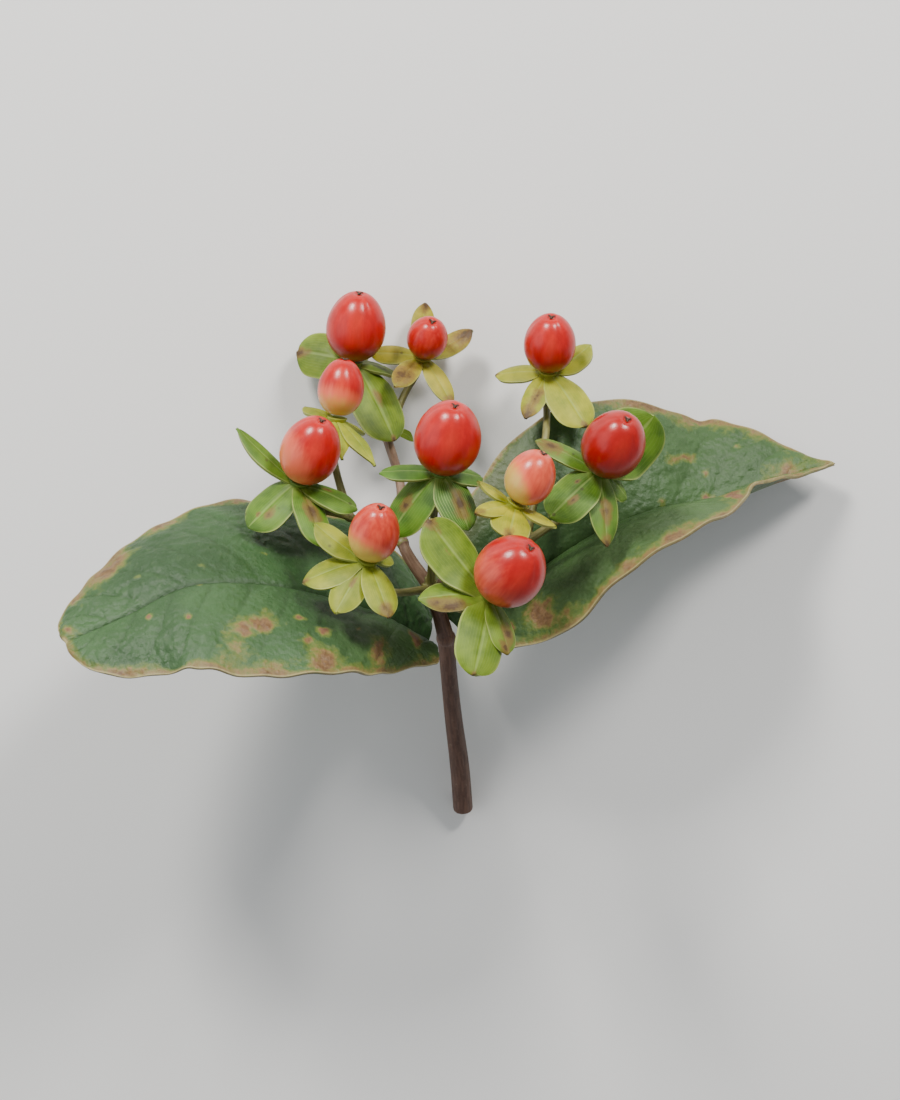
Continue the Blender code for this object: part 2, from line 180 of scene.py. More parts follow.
# Sepals: compass angle round the axis (0 right, 90 back), droop, length, width, curl of the tip.
SEPALS = {
    1: [(156, 0, 9.0, 6.5, 12), (245, 40, 8.0, 6.0, 15), (316, 42, 13.4, 7.4, 8), (30, 15, 7.0, 5.5, 15),
        (95, 10, 7.0, 5.5, 15)],
    2: [(92, -22, 8.5, 3.8, -12), (30, -20, 8.5, 3.8, -10), (305, 10, 8.8, 3.6, 12), (240, -2, 7.6, 3.6, 12),
        (178, 8, 7.4, 3.8, 10)],
    3: [(172, 8, 7.5, 4.4, 12), (245, 22, 8.3, 3.8, 12), (305, 22, 10.3, 6.6, 10), (30, -20, 7.4, 5.0, -8),
        (100, 5, 6.5, 4.5, 12)],
    4: [(140, -10, 6.0, 4.2, 12), (215, 62, 4.6, 3.0, 12), (284, 34, 7.8, 3.2, 10), (316, 28, 10.0, 4.2, 8),
        (50, 20, 6.0, 4.0, 12)],
    5: [(160, -18, 11.8, 4.6, -4), (225, 42, 9.6, 7.0, 10), (300, 18, 10.6, 5.6, 10), (350, 0, 9.0, 6.2, 10),
        (75, 0, 7.0, 5.0, 12)],
    6: [(180, 8, 8.2, 4.2, 10), (218, 52, 11.4, 7.2, 10), (308, 30, 8.9, 6.4, 10), (20, 10, 6.5, 5.0, 15),
        (95, 5, 7.0, 5.5, 12)],
    7: [(50, -26, 12.0, 9.0, -22), (162, -3, 9.8, 4.0, 8), (230, 22, 10.2, 6.6, 10), (284, 22, 11.2, 4.8, 8),
        (350, 30, 6.0, 4.5, 15)],
    8: [(170, -8, 5.8, 3.2, 8), (223, 12, 7.2, 3.4, 10), (268, 16, 7.2, 6.2, 10), (345, -4, 6.0, 3.2, 8),
        (75, 10, 4.5, 3.6, 10)],
    9: [(158, -16, 8.8, 4.6, -4), (195, 24, 9.3, 5.8, 10), (245, 28, 9.0, 5.0, 10), (295, 16, 9.3, 5.0, 10),
        (50, 15, 5.0, 4.0, 12)],
    10: [(148, -12, 13.5, 8.2, 0), (192, 20, 9.8, 5.2, 12), (268, 14, 12.6, 7.8, 10), (298, 8, 8.6, 4.8, 12),
         (45, 10, 6.0, 5.0, 15)],
}
# Leaves: midrib points, then width, lift and forward sweep of the far and near halves, and how
# high the edge waves.
LEAVES = {
    "leaf_left": {
        "midrib": [(-2.6, -1.1, 0.8), (-11, -4.5, 9), (-20.5, -8.5, 15.5), (-29.5, -12, 19.8),
                   (-39, -15.5, 21.6), (-48, -19.5, 19), (-56.5, -23, 16.8)],
        "far": [(8, 22, -5), (18.5, 18, -4), (22.5, 5, 5), (19.5, 0, 15), (15.5, 0, 20), (12, 0, 20),
                (10, 0, 20)],
        "near": [(8, -5, 15), (15, -10, 10), (18.5, -12, 5), (18.5, -15, 10), (16.5, -15, 15), (13, -12, 15),
                 (11, -8, 15)],
        "wave": 0.7,
    },
    "leaf_right": {
        "midrib": [(2.6, 1.1, 0.8), (12, 4.8, 8), (22.2, 9, 13.5), (32.5, 13, 15.8),
                   (42.7, 17.2, 14.3), (53, 21.3, 16), (63, 25.5, 16.8)],
        "far": [(8, 50, -5), (15, 48, -4), (20, 44, 2), (18.5, 38, 12), (16.5, 28, 20), (9, 20, 25),
                (1.5, 10, 30)],
        "near": [(7, -5, -8), (12.5, 0, -4), (17, 12, 5), (15.5, 25, 15), (9.5, 40, 20), (5, 40, 25),
                 (1.5, 20, 30)],
        "wave": 0.8,
    },
}
# Stems: points with the radius at each, and pedicels with their start and one bend.
STEMS = {
    "main": [((2.8, 0.6, -35.2), 1.65), ((2.2, 0.5, -26), 1.6), ((1.2, 0.3, -16), 1.45),
             ((0.4, 0.0, -6), 1.35), ((0.0, 0.0, 0.0), 1.4), ((-1.0, 0.0, 5.0), 1.2), ((-2.4, 0.0, 10.0), 1.25)],
    "back_left": [((-2.4, 0.0, 10.0), 1.1), ((-6.8, 4.0, 16), 0.9), ((-7.2, 13.5, 20.3), 0.75),
                  ((-9.5, 23.0, 23.4), 0.8)],
    "right": [((-2.4, 0.0, 10.0), 1.1), ((4.0, 0.3, 13.0), 0.85), ((12.5, 2.0, 17.5), 0.85)],
}
PEDICELS = {
    1: ((-9.5, 23.0, 23.4), (-13.2, 27.0, 27.5)),
    2: ((-9.5, 23.0, 23.4), (-6.8, 28.2, 28.0)),
    3: ((12.5, 2.0, 17.5), (15.6, 14.5, 28.5)),
    4: ((-15.0, 4.6, 20.5), (-17.2, 9.0, 26.5)),
    5: ((-6.8, 4.0, 16), (-15.0, 4.6, 20.5)),
    6: ((-2.4, 0.0, 10.0), (-2.0, -1.4, 21)),
    7: ((12.5, 2.0, 17.5), (20.5, 3.5, 23.5)),
    8: ((12.5, 2.0, 17.5), (10.8, -4.0, 24)),
    9: ((-2.4, 0.0, 10.0), (-8.0, -6.5, 14.0)),
    10: ((-2.4, 0.0, 10.0), (0.5, -9.0, 13.5)),
}
PEDICEL_R = 0.62          # radius of a pedicel
PEDICEL_END = 2.25        # how far below a berry's base its pedicel ends
BRACT = ((-8.0, 23.0, 24.4), (-5.4, 24.0, 22.0), 1.5)     # root, tip and width
print(len(BERRIES), "berries,", sum(len(s) for s in SEPALS.values()), "sepals,", len(LEAVES), "leaves")


# %% Curves through points
def spline(rows, s):
    """A smooth curve through evenly spaced rows of numbers, at s from 0 to 1."""
    rows = np.asarray(rows, float)
    last = len(rows) - 1
    x = min(max(s, 0.0), 1.0) * last
    i = min(int(x), last - 1)
    f = x - i
    p1, p2 = rows[i], rows[i + 1]
    p0 = rows[i - 1] if i > 0 else 2 * p1 - p2
    p3 = rows[i + 2] if i < last - 1 else 2 * p2 - p1
    return 0.5 * (2 * p1 + (p2 - p0) * f + (2 * p0 - 5 * p1 + 4 * p2 - p3) * f ** 2
                  + (3 * p1 - p0 - 3 * p2 + p3) * f ** 3)


def path_point(points, distance):
    """A point of the smooth curve through unevenly spaced points, at a distance along it."""
    points = np.asarray(points, float)
    steps = np.linalg.norm(np.diff(points[:, :3], axis=0), axis=1)
    at = np.concatenate(([0.0], np.cumsum(steps)))
    i = min(max(int(np.searchsorted(at, distance, side="right")) - 1, 0), len(points) - 2)
    slopes = []
    for k in (i, i + 1):
        a, b = max(k - 1, 0), min(k + 1, len(points) - 1)
        slopes.append((points[b] - points[a]) / (at[b] - at[a]))
    h = at[i + 1] - at[i]
    f = min(max((distance - at[i]) / h, 0.0), 1.0)
    return (points[i] * (1 - 3 * f ** 2 + 2 * f ** 3) + points[i + 1] * (3 * f ** 2 - 2 * f ** 3)
            + slopes[0] * h * (f - 2 * f ** 2 + f ** 3) + slopes[1] * h * (f ** 3 - f ** 2))


def unit(v):
    """The direction of v, one long."""
    v = np.asarray(v, float)
    return v / np.linalg.norm(v)


def turned(a, b, degrees):
    """The direction that starts at a and is turned toward b."""
    r = math.radians(degrees)
    return a * math.cos(r) + b * math.sin(r)


def smooth(low, high, x):
    """0 below low, 1 above high, and a soft step between."""
    f = min(max((x - low) / (high - low), 0.0), 1.0)
    return f * f * (3 - 2 * f)


def berry_frame(number):
    """The base point and the right, back and axis directions of a berry."""
    base, lean = BERRIES[number][:2]
    axis = unit((*lean, 1))
    back = unit(np.cross(axis, (1, 0, 0)))
    right = np.cross(back, axis)
    return np.array(base, float), right, back, axis


# %% [markdown]
# ## Putting points on a primitive
#
# Berries, sepals and leaves all start as a primitive whose vertices are then moved to where a
# formula puts them, as one would pull a lattice. Facts that only the formula knows, such as how
# far along a sepal a point is, are kept on the vertices, so that the finish can follow them.

# %% Helpers for pieces
BLADE = 0.5               # thickness of leaves and sepals
WELD = 0.000004           # points of a blade closer than this become one, in metres
TUBE_WELD = 0.000002      # the same for a tube
SHARP = math.radians(50)  # an edge bent more than this stays sharp


def give(obj, name, kind, values):
    """Store one number (FLOAT) or three (FLOAT_VECTOR) on each vertex."""
    layer = obj.data.attributes.new(name, kind, "POINT")
    key = "value" if kind == "FLOAT" else "vector"
    layer.data.foreach_set(key, np.asarray(values, np.float32).ravel())


def apply_all(obj):
    """Apply every modifier, in order."""
    bpy.ops.object.select_all(action="DESELECT")
    obj.select_set(True)
    bpy.context.view_layer.objects.active = obj
    for modifier in list(obj.modifiers):
        bpy.ops.object.modifier_apply(modifier=modifier.name)


def grid_blade(name, cells, point):
    """A grid primitive bent to point(s, t), which returns a growing-frame point and a fact row."""
    bpy.ops.mesh.primitive_grid_add(x_subdivisions=cells[1], y_subdivisions=cells[0], size=2)
    obj = bpy.context.object
    obj.name = name
    places, facts = [], []
    for vert in obj.data.vertices:
        s = (1 - math.cos(math.pi * (vert.co.y + 1) / 2)) / 2       # rows close up at both ends
        place, fact = point(min(max(s, 0.0), 1.0), min(max(vert.co.x, -1.0), 1.0))
        places.append(place)
        facts.append(fact)
    obj.data.vertices.foreach_set("co", laid(places).astype(np.float32).ravel())
    obj.data.update()
    for key in facts[0]:
        values = [fact[key] for fact in facts]
        give(obj, key, "FLOAT" if np.isscalar(values[0]) else "FLOAT_VECTOR", values)
    wall = obj.modifiers.new("thickness", "SOLIDIFY")
    wall.thickness = BLADE * MM
    wall.offset = 0
    single = len(obj.data.vertices)
    apply_all(obj)
    rows = np.empty(len(obj.data.vertices) * 3, np.float32)
    obj.data.vertices.foreach_get("co", rows)
    rows = rows.reshape(-1, 3)
    # The wall has two layers. The one that lies lower, as the plant grew, is the underside.
    above = np.array(LAY_ROWS[:3, 2])
    first_is_top = float(((rows[:single] - rows[single:2 * single]) @ above).sum()) > 0
    under = np.zeros(len(rows), np.float32)
    under[slice(single, None) if first_is_top else slice(0, single)] = 1
    give(obj, "under", "FLOAT", under)
    bpy.ops.object.mode_set(mode="EDIT")
    bpy.ops.mesh.select_all(action="SELECT")
    bpy.ops.mesh.remove_doubles(threshold=WELD)
    bpy.ops.object.mode_set(mode="OBJECT")
    bpy.ops.object.shade_smooth_by_angle(angle=SHARP)
    return obj


def join(pieces, name):
    """Join finished pieces in one object."""
    bpy.ops.object.select_all(action="DESELECT")
    for piece in pieces:
        piece.select_set(True)
    bpy.context.view_layer.objects.active = pieces[0]
    bpy.ops.object.join()
    pieces[0].name = name
    pieces[0].data.name = name
    return pieces[0]


def finish_piece(obj, mat, slot, *nodes):
    """Give a piece its material, hang it on the root body, and hide the solids it stands for."""
    obj.data.materials.clear()
    obj.data.materials.append(mat)
    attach(obj, "root")
    for node in nodes:
        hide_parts(node)


# %% [markdown]
# ## Wiring a finish
#
# Each finish is a small network of nodes. A few short helpers keep the wiring readable: one adds
# a node, and the others make the noises, ramps and mixes that every finish here is made of.

# %% Helpers for materials
class Finish:
    """A material under construction."""

    def __init__(self, name, roughness):
        self.mat = bpy.data.materials.new(name)
        self.mat.use_nodes = True
        self.tree = self.mat.node_tree
        self.shader = self.tree.nodes["Principled BSDF"]
        self.shader.inputs["Roughness"].default_value = roughness
        self.object_coords = self.tree.nodes.new("ShaderNodeTexCoord").outputs["Object"]

    def node(self, kind, inputs=None, **settings):
        """A new node, with its settings, and its inputs set or wired."""
        made = self.tree.nodes.new(kind)
        for key, value in settings.items():
            setattr(made, key, value)
        for key, value in (inputs or {}).items():
            self.feed(made.inputs[key], value)
        return made

    def feed(self, socket, value):
        """Wire a socket into another, or set it to a plain value."""
        if isinstance(value, bpy.types.NodeSocket):
            self.tree.links.new(value, socket)
        else:
            socket.default_value = value

    def fact(self, name, part="Fac"):
        """What a formula left on the vertices."""
        return self.node("ShaderNodeAttribute", attribute_name=name).outputs[part]

    def math(self, operation, a, b=0.0, clamp=False):
        """Two values put together."""
        made = self.node("ShaderNodeMath", operation=operation, use_clamp=clamp)
        self.feed(made.inputs[0], a)
        self.feed(made.inputs[1], b)
        return made.outputs[0]

    def times(self, value, share):
        """A share of a value."""
        return self.math("MULTIPLY", value, share)

    def noise(self, scale, detail=4.0, coords=None, roughness=0.55):
        """A cloudy value from 0 to 1."""
        inputs = {"Vector": coords or self.object_coords, "Scale": scale, "Detail": detail,
                  "Roughness": roughness}
        return self.node("ShaderNodeTexNoise", inputs).outputs["Fac"]

    def stretch(self, coords, scale):
        """Coordinates drawn out, so that a noise becomes streaks."""
        return self.node("ShaderNodeMapping", {"Vector": coords, "Scale": scale}).outputs["Vector"]

    def step(self, value, low, high):
        """A soft step from 0 to 1."""
        inputs = {"Value": value, "From Min": low, "From Max": high}
        return self.node("ShaderNodeMapRange", inputs, interpolation_type="SMOOTHSTEP").outputs["Result"]

    def mix(self, factor, a, b):
        """Colour a at 0 and colour b at 1."""
        made = self.node("ShaderNodeMix", data_type="RGBA")
        self.feed(made.inputs[0], factor)
        self.feed(made.inputs[6], a if isinstance(a, bpy.types.NodeSocket) else (*a, 1))
        self.feed(made.inputs[7], b if isinstance(b, bpy.types.NodeSocket) else (*b, 1))
        return made.outputs[2]

    def colour(self, socket):
        """The finish's own colour."""
        self.feed(self.shader.inputs["Base Color"], socket)

    def bump(self, height, distance, strength=1.0):
        """A fine unevenness of the surface."""
        inputs = {"Height": height, "Distance": distance, "Strength": strength}
        made = self.node("ShaderNodeBump", inputs)
        self.feed(self.shader.inputs["Normal"], made.outputs["Normal"])


# %% [markdown]
# ## Berries
#
# The fruit is a waxy egg with three faint seams that run down from the tip and a small dimple
# where the styles stood. Its red is streaked lengthwise and deeper on the riper fruits, and painted
# shade darkens it low down. A lighter stripe down the side that faces the camera is a painted
# reflection. Three of the small fruits are still cream on the side that the sun did not reach, and
# two large ones are a little paler there.

# %% Berry skin
skin = Finish("berry_skin", 0.30)
local = skin.fact("local", "Vector")
streak = skin.noise(1.0, 3.0, skin.stretch(local, (5.0, 5.0, 0.7)))
fine = skin.noise(1.0, 2.0, skin.stretch(local, (16.0, 16.0, 2.0)))
red = skin.mix(skin.step(streak, 0.35, 0.75), (0.41, 0.004, 0.003), (0.52, 0.009, 0.006))
red = skin.mix(skin.times(skin.step(fine, 0.55, 0.80), 0.16), red, (0.64, 0.05, 0.022))
# A lighter stripe down the side that faces the camera: a painted reflection.
red = skin.mix(skin.times(skin.fact("reflection_stripe"), 0.28), red, (0.68, 0.07, 0.03))
# Darker red: each fruit's own ripeness, and painted shade over the lower half.
red = skin.mix(skin.step(skin.fact("ripe_and_low_shade"), 0.0, 1.0), red, (0.20, 0.002, 0.001))
blush = skin.math("ADD", skin.fact("cream"), skin.times(skin.math("SUBTRACT", streak, 0.5), 0.3))
pale = skin.mix(skin.step(blush, 0.10, 0.50), red, (0.72, 0.12, 0.055))
pale = skin.mix(skin.step(blush, 0.42, 0.95), pale, (0.62, 0.42, 0.09))
skin.colour(skin.mix(skin.step(skin.fact("tip"), 0.0, 1.0), pale, (0.30, 0.06, 0.02)))
pores = skin.noise(60.0, 2.0, local)
skin.bump(skin.math("ADD", skin.times(pores, 0.3), fine), 0.00003, 0.6)
skin.shader.inputs["Subsurface Weight"].default_value = 0.08
skin.shader.inputs["Subsurface Radius"].default_value = (0.002, 0.0006, 0.0003)
skin.shader.inputs["Subsurface Scale"].default_value = 0.6
skin.shader.inputs["Specular IOR Level"].default_value = 0.38
skin.shader.inputs["Coat Weight"].default_value = 0.16
skin.shader.inputs["Coat Roughness"].default_value = 0.20
print(skin.mat.name, "made")

# %% Berry shapes
# Where a fruit is paler: how much, and the direction (right, back, axis) it is paler to.
CREAM = {4: (0.80, (-0.1, -0.3, -0.95)), 5: (0.52, (-0.75, -0.30, -0.70)), 8: (0.90, (-0.70, -0.30, -0.75)),
         9: (0.95, (-0.30, -0.35, -0.9)), 10: (0.30, (-0.70, -0.40, -0.60))}
# How pale its red is all over, and how far it is past its brightest red.
CORAL = {2: 0.14, 4: 0.10, 8: 0.33, 9: 0.25}
RIPE = {1: 0.1, 2: 0.1, 3: 0.05, 5: 0.1, 6: 0.1, 7: 0.45, 10: 0.35}
# The outline from tip to base: height and radius, as parts of the length and of the radius.
EGG = [(1.0, 0.0), (0.98, 0.24), (0.92, 0.50), (0.80, 0.75), (0.63, 0.94),
       (0.45, 1.0), (0.28, 0.94), (0.13, 0.74), (0.03, 0.46), (0.0, 0.24), (0.0, 0.0)]
SEAM_DEPTH = 0.045        # as a part of the radius
DIMPLE = 0.45             # depth at the tip, mm
DENT = 0.35               # depth at the base, mm


def berry_point(number, z, r, round_angle):
    """A point of the fruit's skin, from the primitive's height and radius, with its dimple and seams."""
    base, right, back, axis = berry_frame(number)
    radius, length = BERRIES[number][2:]
    tip = smooth(0.80, 1.0, z)
    seam = math.exp(-(((round_angle / (2 * math.pi) * 3) % 1 - 0.5) / 0.07) ** 2)
    r = r * (1 - SEAM_DEPTH * seam * smooth(0.55, 0.90, z) * min(1, r * 3))
    height = (z * length - DIMPLE * math.exp(-(r / 0.16) ** 2) * tip
              + DENT * math.exp(-(r / 0.3) ** 2) * (z < 0.3))
    out = right * math.cos(round_angle) + back * math.sin(round_angle)
    return base + axis * height + out * r * radius


for number in BERRIES:
    bpy.ops.mesh.primitive_uv_sphere_add(segments=60, ring_count=40, radius=1)
    fruit = bpy.context.object
    fruit.name = "fruit_%d" % number
    places, local_rows, cream, ripe_and_low_shade, tips, reflection_stripes = [], [], [], [], [], []
    amount, toward = CREAM.get(number, (0.0, (0, 0, -1)))
    for vert in fruit.data.vertices:
        polar = math.acos(max(-1.0, min(1.0, vert.co.z))) / math.pi
        row = spline(EGG, polar)
        z, r = min(max(row[0], 0.0), 1.0), max(row[1], 0.0)
        if polar < 0.001 or polar > 0.999:
            r = 0.0
        angle = math.atan2(vert.co.y, vert.co.x)
        places.append(berry_point(number, z, r, angle))
        x, y = r * math.cos(angle), r * math.sin(angle)
        local_rows.append((x + number * 3.7, y, z * 2))
        side = x * toward[0] + y * toward[1] + (2 * z - 1) * toward[2]
        cream.append(max(amount * smooth(-0.25, 0.95, side), CORAL.get(number, 0.0)))
        # Ripeness darkens a whole fruit. Painted shade darkens the lower half, less where the fruit is cream.
        ripe_and_low_shade.append(RIPE.get(number, 0.0) + 0.75 * smooth(0.50, 0.05, z) * (1 - amount))
        tips.append(0.7 * smooth(0.12, 0.03, r) * (z > 0.5) + 0.5 * smooth(0.2, 0.1, r) * (z < 0.2))
        # The painted reflection: a lighter stripe down the side of the fruit that faces the camera.
        reflection_stripe = math.exp(-(((angle + math.pi / 2) / 0.28) ** 2))
        reflection_stripes.append(reflection_stripe * smooth(0.15, 0.4, z) * smooth(0.95, 0.7, z))
    fruit.data.vertices.foreach_set("co", laid(places).astype(np.float32).ravel())
    fruit.data.update()
    give(fruit, "local", "FLOAT_VECTOR", local_rows)
    give(fruit, "cream", "FLOAT", cream)
    give(fruit, "ripe_and_low_shade", "FLOAT", ripe_and_low_shade)
    give(fruit, "tip", "FLOAT", tips)
    give(fruit, "reflection_stripe", "FLOAT", reflection_stripes)
    bpy.ops.object.shade_smooth()
    finish_piece(fruit, skin.mat, "berry", "berry_%d" % number)
print("fruits:", len(BERRIES), "with", len(fruit.data.polygons), "faces each")

# %% [markdown]
# ## The dry styles
#
# On each tip sit the remains of the flower's three styles: a dark knot no bigger than a pinhead,
# with three short bent arms. A curve with a tapering radius is the quickest true shape.

# %% Styles
dry = Finish("dry_style", 0.7)
dry.colour(dry.mix(dry.noise(900.0), (0.018, 0.009, 0.005), (0.085, 0.042, 0.022)))
dry.bump(dry.noise(2500.0), 0.00004)


def round_tube(name, rows, sides=8, steps=14):
    """A tube of changing radius through (x, y, z, radius) rows in the growing frame, as a mesh."""
    length = float(np.linalg.norm(np.diff(np.array(rows)[:, :3], axis=0), axis=1).sum())
    curve = bpy.data.curves.new(name, "CURVE")
    curve.dimensions = "3D"
    curve.bevel_depth = MM
    curve.bevel_resolution = max(0, sides // 2 - 2)
    curve.use_fill_caps = True
    line = curve.splines.new("POLY")
    line.points.add(steps)
    for i in range(steps + 1):
        row = path_point(rows, length * i / steps)
        line.points[i].co = (*laid(row[:3]), 1)
        line.points[i].radius = row[3]
    obj = bpy.data.objects.new(name, curve)
    bpy.context.scene.collection.objects.link(obj)
    bpy.ops.object.select_all(action="DESELECT")
    obj.select_set(True)
    bpy.context.view_layer.objects.active = obj
    bpy.ops.object.convert(target="MESH")
    bpy.ops.object.mode_set(mode="EDIT")
    bpy.ops.mesh.select_all(action="SELECT")
    bpy.ops.mesh.remove_doubles(threshold=TUBE_WELD)
    bpy.ops.object.mode_set(mode="OBJECT")
    return bpy.context.object


STYLE_SUNK = 0.60         # how far below the tip's height the knot starts, mm
for number in BERRIES:
    base, right, back, axis = berry_frame(number)
    foot = base + axis * (BERRIES[number][3] - STYLE_SUNK)
    arms = []
    for i in range(3):
        out = turned(right, back, 120 * i + 20)
        rows = [(*foot, 0.24), (*(foot + axis * 0.34 + out * 0.08), 0.19),
                (*(foot + axis * 0.52 + out * 0.38), 0.125), (*(foot + axis * 0.46 + out * 0.66), 0.08)]
        arms.append(round_tube("arm", rows))
    knot = join(arms, "dry_styles_%d" % number)
    bpy.ops.object.shade_smooth()
    finish_piece(knot, dry.mat, "style", "style_%d" % number)
print("styles:", len(BERRIES), "sets of three arms")

# %% [markdown]
# ## Sepals
#
# A sepal is a small leaf with many near-parallel veins that run from its root and meet at its
# tip. Some calyces are fresh green and some have turned yellow. The edge is pale and thin, and
# the tips and a few spots have dried to brown. One finish serves all. It follows facts kept on
# the vertices: the place along and across the blade, how yellow, brown and veined it is there,
# and whether it is the underside.

# %% Sepal finish
VEIN_LANES = 8.5          # lanes of veins in half a sepal
blade = Finish("sepal_skin", 0.50)
where = blade.node("ShaderNodeSeparateXYZ", {0: blade.fact("blade", "Vector")})
along, across = where.outputs[0], where.outputs[1]
wobble = blade.noise(260.0, 3.0)
lanes = blade.math("ADD", blade.times(across, VEIN_LANES), blade.times(wobble, 0.7))
lane = blade.math("ABSOLUTE", blade.math("SUBTRACT", blade.math("FRACT", lanes), 0.5))
veins = blade.step(lane, 0.36, 0.5)
mottle = blade.noise(330.0, 5.0)
green = blade.mix(blade.step(mottle, 0.3, 0.7), (0.030, 0.095, 0.005), (0.075, 0.185, 0.011))
yellow = blade.mix(blade.step(mottle, 0.3, 0.7), (0.20, 0.23, 0.006), (0.38, 0.36, 0.016))
patchy = blade.step(blade.noise(150.0, 3.0), 0.48, 0.68)
green = blade.mix(blade.times(patchy, 0.5), green, (0.120, 0.230, 0.022))
ochre = blade.mix(blade.step(mottle, 0.3, 0.7), (0.20, 0.10, 0.010), (0.33, 0.19, 0.022))
body = blade.mix(blade.math("MULTIPLY", blade.fact("yellow"), 1.0, clamp=True), green, yellow)
body = blade.mix(blade.math("SUBTRACT", blade.fact("yellow"), 1.0, clamp=True), body, ochre)
middle = blade.step(blade.math("ABSOLUTE", across), 0.10, 0.02)
lines = blade.math("MAXIMUM", blade.times(veins, blade.fact("veined")), blade.times(middle, 0.35))
body = blade.mix(lines, body, (0.32, 0.42, 0.11))
edge = blade.step(blade.math("ABSOLUTE", across), 0.90, 1.0)
body = blade.mix(blade.times(edge, 0.5), body, (0.42, 0.46, 0.14))
root = blade.step(along, 0.22, 0.0)
body = blade.mix(blade.times(root, 0.35), body, (0.28, 0.34, 0.06))
crumb = blade.math("SUBTRACT", blade.noise(650.0, 6.0, roughness=0.7), 0.5)
brown = blade.math("ADD", blade.fact("brown"), blade.times(crumb, 1.3))
body = blade.mix(blade.times(blade.step(brown, 0.30, 0.75), 0.75), body, (0.17, 0.085, 0.022))
body = blade.mix(blade.times(blade.step(brown, 0.70, 1.05), 0.85), body, (0.055, 0.024, 0.010))
body = blade.mix(blade.times(blade.fact("under"), 0.30), body, (0.26, 0.34, 0.12))
dots = blade.node("ShaderNodeTexVoronoi", {"Vector": blade.object_coords, "Scale": 260.0})
spots = blade.times(blade.step(dots.outputs["Distance"], 0.11, 0.05), 0.65)
body = blade.mix(spots, body, (0.045, 0.030, 0.010))
blade.colour(body)
blade.bump(blade.math("ADD", blade.times(veins, 0.20), mottle), 0.00009, 0.7)
blade.shader.inputs["Specular IOR Level"].default_value = 0.30
print(blade.mat.name, "made")

# %% Sepal shapes
SEPAL_CELLS = (22, 20)
SPINE_STEPS = 24
YELLOW_STARS = (2, 3, 4, 8, 9)
# From 0 for fresh green to 1 for yellow and 2 for ochre.
YELLOWNESS = {1: 0.28, 2: 1.28, 3: 0.85, 4: 0.75, 5: 0.08, 6: 0.02, 7: 0.08, 8: 1.1, 9: 0.68, 10: 0.24}
# How blunt the tips are, from below 0 for a drawn-out point to 1 for a round end.
BLUNT = {1: [0.9, 1.0, 0.9, 0.7, 0.7], 2: [0.6, 0.6, 0.3, 0.5, 0.6], 3: [0.9, 0.4, 0.9, 0.8, 0.7],
         4: [0.6, 0.3, -0.4, -0.5, 0.5], 5: [-0.2, 0.8, 0.7, 0.5, 0.6], 6: [0.3, 0.6, 0.7, 0.5, 0.5],
         7: [0.9, 0.4, 0.8, 0.1, 0.5], 8: [0.3, 0.3, 0.8, 0.4, 0.5], 9: [0.6, 0.6, 0.6, 0.5, 0.5],
         10: [0.8, 0.3, 1.0, 0.6, 0.6]}
# Sepals that have turned about their own length, in degrees, and how much broader they look.
ROLL = {(1, 0): (-50, 1.18), (1, 2): (8, 1.20), (7, 0): (28, 1.15), (7, 2): (12, 1.1), (10, 0): (-16, 1.05),
        (5, 1): (10, 1.05), (3, 2): (0, 1.05), (6, 2): (0, 1.05), (9, 0): (-10, 1.0), (4, 3): (0, 0.92)}
# Brown marks: (calyx, sepal): list of (along, across, radius) as parts of the sepal.
BROWN = {
    (1, 0): [(0.95, 0.0, 0.18)], (1, 2): [(0.46, 0.12, 0.10), (1.0, 0.0, 0.06)],
    (2, 0): [(0.98, 0.0, 0.16)], (2, 1): [(0.9, 0.0, 0.42)], (2, 2): [(1.0, 0.0, 0.2)],
    (2, 3): [(0.6, 0.0, 0.42)],
    (3, 1): [(0.95, 0.0, 0.3), (0.5, 0.2, 0.2)], (3, 2): [(1.0, 0.0, 0.12)], (3, 0): [(1.0, 0.0, 0.08)],
    (5, 1): [(0.62, 0.3, 0.12), (0.75, -0.1, 0.06)], (5, 2): [(0.45, 0.0, 0.22)], (5, 3): [(0.4, 0.3, 0.10)],
    (6, 1): [(0.55, -0.2, 0.15)], (6, 2): [(0.55, 0.1, 0.28)],
    (7, 1): [(0.75, 0.0, 0.22)], (7, 2): [(0.55, 0.2, 0.10), (0.3, -0.3, 0.06)],
    (7, 3): [(0.98, 0.0, 0.16), (0.5, 0.1, 0.16)],
    (8, 2): [(0.95, 0.0, 0.22)], (8, 1): [(1.0, 0.0, 0.2)],
    (9, 1): [(1.0, 0.0, 0.12)], (9, 3): [(0.95, 0.0, 0.22)], (9, 2): [(0.4, 0.0, 0.1)],
    (10, 0): [(0.98, 0.0, 0.14), (0.6, 0.2, 0.04)], (10, 1): [(0.55, 0.7, 0.26), (0.75, 0.5, 0.16)],
    (10, 2): [(1.0, 0.0, 0.05), (0.30, 0.3, 0.03)], (10, 3): [(0.65, 0.3, 0.22), (0.9, -0.3, 0.14)],
}


def sepal_width(s, blunt=0.0):
    """Half width of a sepal as a part of its widest, at s from root to tip."""
    if s < 0.45:
        return 0.42 + 0.58 * math.sin(math.pi / 2 * s / 0.45)
    rest = ((s - 0.45) / 0.55) ** (1.25 + 1.0 * blunt)
    return math.cos(math.pi / 2 * rest) ** (0.9 - 0.35 * blunt) if s < 1 else 0.0


